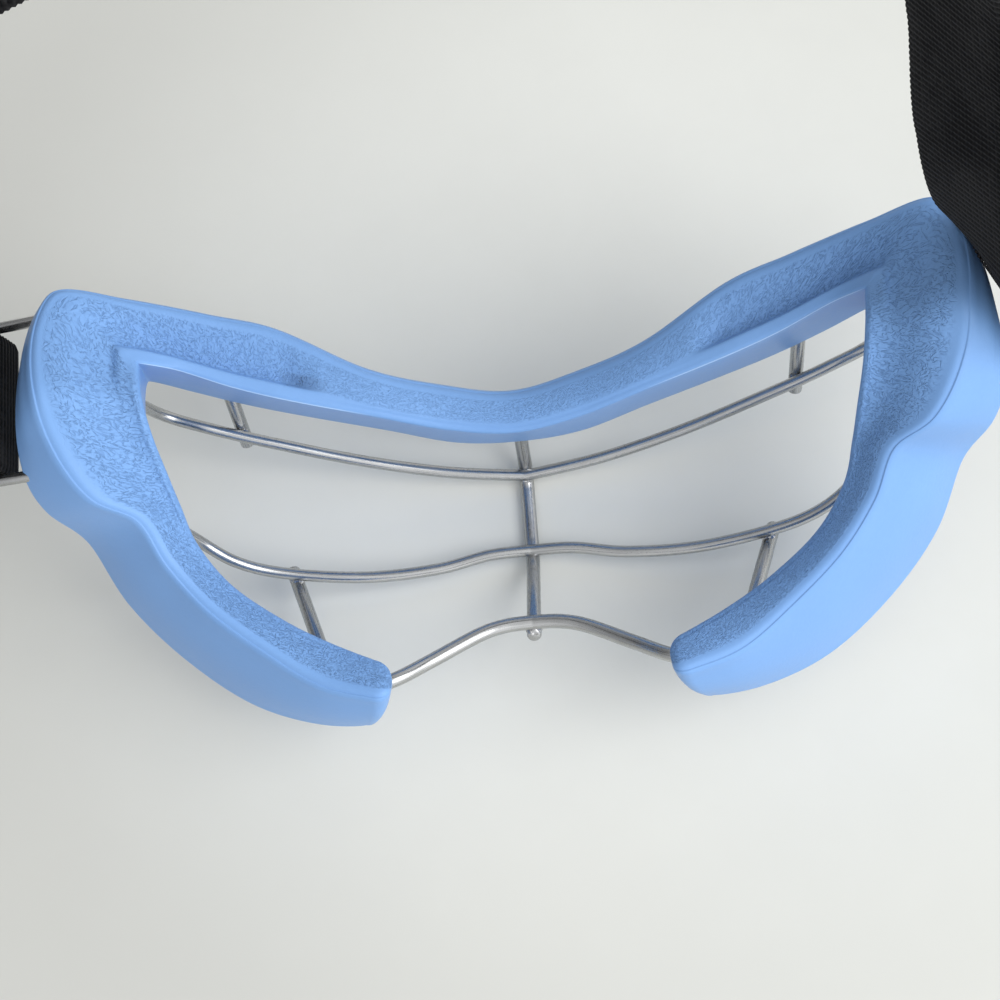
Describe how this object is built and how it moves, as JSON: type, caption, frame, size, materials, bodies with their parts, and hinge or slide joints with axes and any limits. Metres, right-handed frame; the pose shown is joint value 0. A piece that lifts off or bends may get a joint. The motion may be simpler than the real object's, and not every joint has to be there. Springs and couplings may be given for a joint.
{
  "type": "field hockey goggles",
  "caption": "Eye guard with a soft moulded frame round a welded wire cage and an elastic head strap on wire side loops.",
  "frame": {"origin": "point of the centre wire that touches the table, in the middle plane, midway between the two cross wires; the goggles lie front down", "axes": "+X to the wearer's right, +Y up as worn (brow side), +Z from the cage back to the face"},
  "size_m": [0.1909, 0.1041, 0.1521],
  "materials": {
    "frame_plastic": "matt soft moulding, fine grain on the face side",
    "cage_wire": "satin drawn steel wire",
    "weld_metal": "bright weld bead",
    "elastic": "ribbed woven elastic",
    "thread": "bar tack stitching",
    "adjuster_plastic": "moulded black plastic"
  },
  "bodies": {
    "goggles": {"moulded_frame": "frame_plastic", "perimeter_wire": "cage_wire", "upper_cross_wire": "cage_wire", "lower_cross_wire": "cage_wire", "centre_wire": "cage_wire", "upper_left_wire": "cage_wire", "upper_right_wire": "cage_wire", "lower_left_wire": "cage_wire", "lower_right_wire": "cage_wire", "left_strap_loop": "cage_wire", "right_strap_loop": "cage_wire", "upper_welds": "weld_metal", "lower_welds": "weld_metal", "arch_weld": "weld_metal"},
    "strap_left": {"strap_left_end": "elastic", "left_bar_tacks": "thread", "strap_band": "elastic"},
    "strap_right": {"strap_right_end": "elastic", "right_bar_tacks": "thread"},
    "adjuster": {"strap_adjuster": "adjuster_plastic"}
  },
  "joints": [
    {"name": "left_strap_swing", "type": "hinge", "parent": "goggles", "child": "strap_left", "pos_m": [-0.08871, 0.0145, 0.0471], "axis": [0, 1, 0], "range_deg": [-29, 33], "deforming": ["strap_band"]},
    {"name": "right_strap_swing", "type": "hinge", "parent": "goggles", "child": "strap_right", "pos_m": [0.08871, 0.0145, 0.0471], "axis": [0, 1, 0], "range_deg": [0, 74]},
    {"name": "adjuster_slide", "type": "slide", "parent": "strap_left", "child": "adjuster", "axis": [-0.1392, 0, 0.9903], "range_m": [-0.0015, 0.012]}
  ]
}
